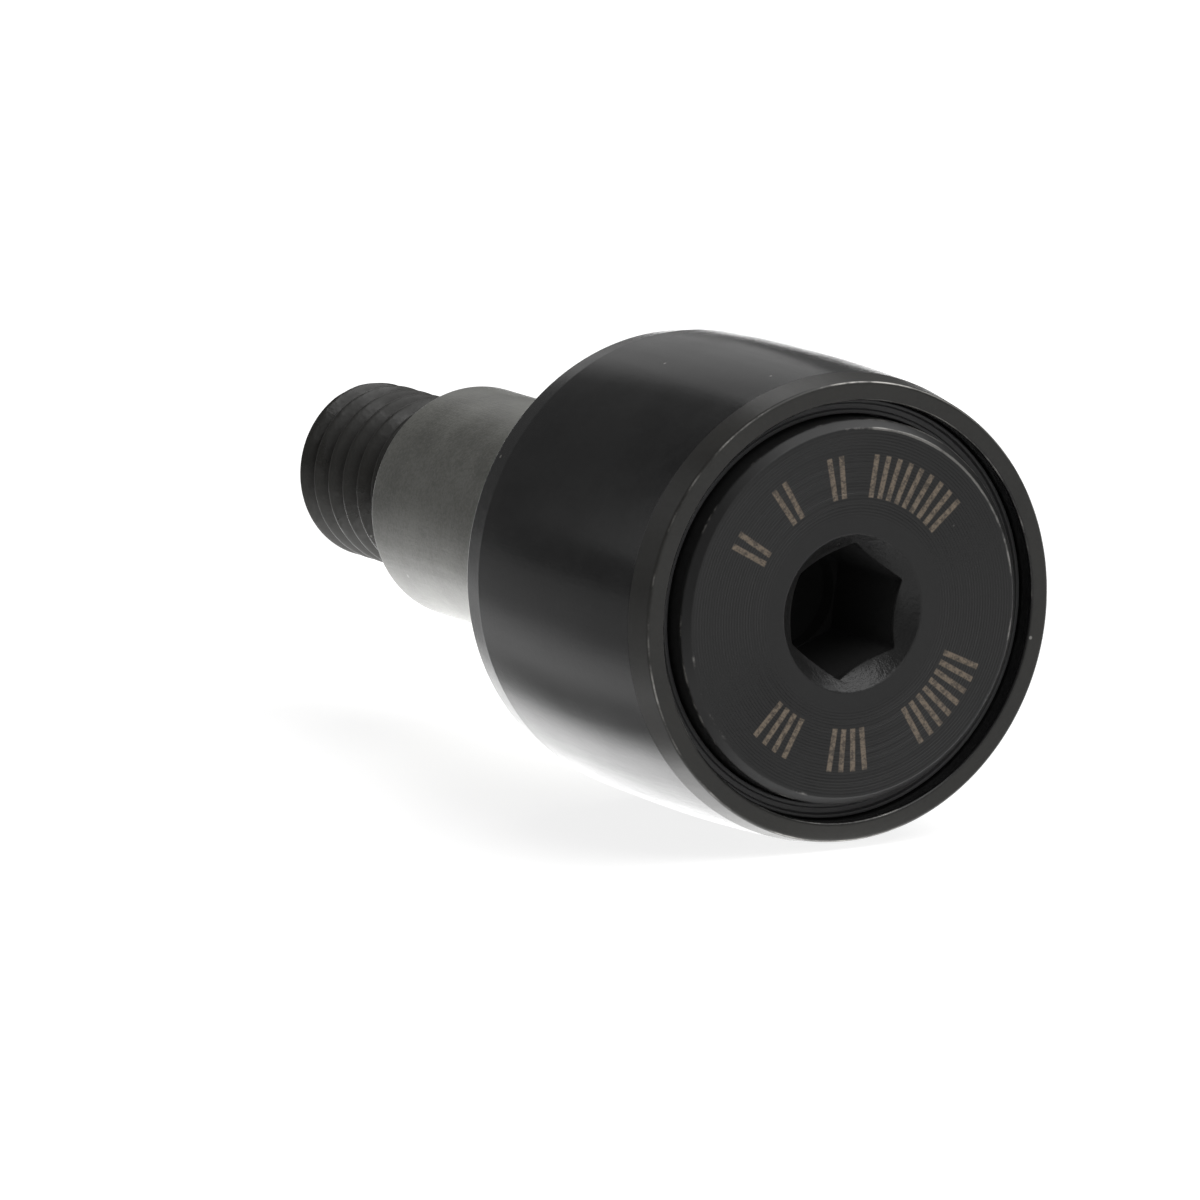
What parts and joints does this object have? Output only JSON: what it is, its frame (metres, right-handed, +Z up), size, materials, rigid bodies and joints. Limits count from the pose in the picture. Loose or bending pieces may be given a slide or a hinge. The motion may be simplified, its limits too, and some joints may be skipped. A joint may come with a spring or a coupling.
{
  "type": "stud-type cam follower",
  "caption": "Black oxide cam follower: a crowned needle-roller ring on a flanged stud with a hex socket, an eccentric bushing and a threaded end.",
  "frame": {"origin": "on the axis of the eccentric bushing, which is the axis of the mounting hole, in the plane of the clamp face (the rear face of the end plate)", "axes": "+Y along the bushing towards the threaded end, so -Y is the head with the hex socket; +X is the side to which the stud and the roller are offset by the eccentricity; +Z up"},
  "size_m": [0.0127, 0.0262, 0.0126],
  "materials": {
    "head_steel": "black oxide over fine turning marks, satin",
    "ring_steel": "black oxide on ground steel, satin with soft highlights",
    "sleeve_steel": "phosphated, matte grey",
    "bright_steel": "ground and polished",
    "seal_nylon": "moulded, semi-matte"
  },
  "bodies": {
    "mounted_stud": {"stud": "head_steel", "end_plate": "ring_steel", "eccentric_bushing": "sleeve_steel"},
    "roller": {"outer_ring": "ring_steel", "front_seal": "seal_nylon", "rear_seal": "seal_nylon"},
    "needle_complement": {"front_back_plate": "bright_steel", "rear_back_plate": "bright_steel"},
    "needle_01": {"needle_01": "bright_steel"},
    "needle_02": {"needle_02": "bright_steel"},
    "needle_03": {"needle_03": "bright_steel"},
    "needle_04": {"needle_04": "bright_steel"},
    "needle_05": {"needle_05": "bright_steel"},
    "needle_06": {"needle_06": "bright_steel"},
    "needle_07": {"needle_07": "bright_steel"},
    "needle_08": {"needle_08": "bright_steel"},
    "needle_09": {"needle_09": "bright_steel"},
    "needle_10": {"needle_10": "bright_steel"},
    "needle_11": {"needle_11": "bright_steel"},
    "needle_12": {"needle_12": "bright_steel"},
    "needle_13": {"needle_13": "bright_steel"},
    "needle_14": {"needle_14": "bright_steel"}
  },
  "joints": [
    {"name": "roller_spin", "type": "hinge", "parent": "mounted_stud", "child": "roller", "pos_m": [0.00025, -0.00538, 0], "axis": [0, 1, 0], "continuous": true},
    {"name": "complement_orbit", "type": "hinge", "parent": "mounted_stud", "child": "needle_complement", "pos_m": [0.00025, -0.00538, 0], "axis": [0, 1, 0], "continuous": true},
    {"name": "needle_01_spin", "type": "hinge", "parent": "needle_complement", "child": "needle_01", "pos_m": [0.00386, -0.00538, 0], "axis": [0, 1, 0], "continuous": true},
    {"name": "needle_02_spin", "type": "hinge", "parent": "needle_complement", "child": "needle_02", "pos_m": [0.00351, -0.00538, -0.00157], "axis": [0, 1, 0], "continuous": true},
    {"name": "needle_03_spin", "type": "hinge", "parent": "needle_complement", "child": "needle_03", "pos_m": [0.0025, -0.00538, -0.00282], "axis": [0, 1, 0], "continuous": true},
    {"name": "needle_04_spin", "type": "hinge", "parent": "needle_complement", "child": "needle_04", "pos_m": [0.00106, -0.00538, -0.00352], "axis": [0, 1, 0], "continuous": true},
    {"name": "needle_05_spin", "type": "hinge", "parent": "needle_complement", "child": "needle_05", "pos_m": [-0.00055, -0.00538, -0.00352], "axis": [0, 1, 0], "continuous": true},
    {"name": "needle_06_spin", "type": "hinge", "parent": "needle_complement", "child": "needle_06", "pos_m": [-0.002, -0.00538, -0.00282], "axis": [0, 1, 0], "continuous": true},
    {"name": "needle_07_spin", "type": "hinge", "parent": "needle_complement", "child": "needle_07", "pos_m": [-0.003, -0.00538, -0.00157], "axis": [0, 1, 0], "continuous": true},
    {"name": "needle_08_spin", "type": "hinge", "parent": "needle_complement", "child": "needle_08", "pos_m": [-0.00336, -0.00538, 0], "axis": [0, 1, 0], "continuous": true},
    {"name": "needle_09_spin", "type": "hinge", "parent": "needle_complement", "child": "needle_09", "pos_m": [-0.003, -0.00538, 0.00157], "axis": [0, 1, 0], "continuous": true},
    {"name": "needle_10_spin", "type": "hinge", "parent": "needle_complement", "child": "needle_10", "pos_m": [-0.002, -0.00538, 0.00282], "axis": [0, 1, 0], "continuous": true},
    {"name": "needle_11_spin", "type": "hinge", "parent": "needle_complement", "child": "needle_11", "pos_m": [-0.00055, -0.00538, 0.00352], "axis": [0, 1, 0], "continuous": true},
    {"name": "needle_12_spin", "type": "hinge", "parent": "needle_complement", "child": "needle_12", "pos_m": [0.00106, -0.00538, 0.00352], "axis": [0, 1, 0], "continuous": true},
    {"name": "needle_13_spin", "type": "hinge", "parent": "needle_complement", "child": "needle_13", "pos_m": [0.0025, -0.00538, 0.00282], "axis": [0, 1, 0], "continuous": true},
    {"name": "needle_14_spin", "type": "hinge", "parent": "needle_complement", "child": "needle_14", "pos_m": [0.00351, -0.00538, 0.00157], "axis": [0, 1, 0], "continuous": true}
  ],
  "couplings": [
    {"joint": "complement_orbit", "follows": "roller_spin", "ratio": 0.60994},
    {"joint": "needle_01_spin", "follows": "roller_spin", "ratio": 2.1639},
    {"joint": "needle_02_spin", "follows": "roller_spin", "ratio": 2.1639},
    {"joint": "needle_03_spin", "follows": "roller_spin", "ratio": 2.1639},
    {"joint": "needle_04_spin", "follows": "roller_spin", "ratio": 2.1639},
    {"joint": "needle_05_spin", "follows": "roller_spin", "ratio": 2.1639},
    {"joint": "needle_06_spin", "follows": "roller_spin", "ratio": 2.1639},
    {"joint": "needle_07_spin", "follows": "roller_spin", "ratio": 2.1639},
    {"joint": "needle_08_spin", "follows": "roller_spin", "ratio": 2.1639},
    {"joint": "needle_09_spin", "follows": "roller_spin", "ratio": 2.1639},
    {"joint": "needle_10_spin", "follows": "roller_spin", "ratio": 2.1639},
    {"joint": "needle_11_spin", "follows": "roller_spin", "ratio": 2.1639},
    {"joint": "needle_12_spin", "follows": "roller_spin", "ratio": 2.1639},
    {"joint": "needle_13_spin", "follows": "roller_spin", "ratio": 2.1639},
    {"joint": "needle_14_spin", "follows": "roller_spin", "ratio": 2.1639}
  ]
}
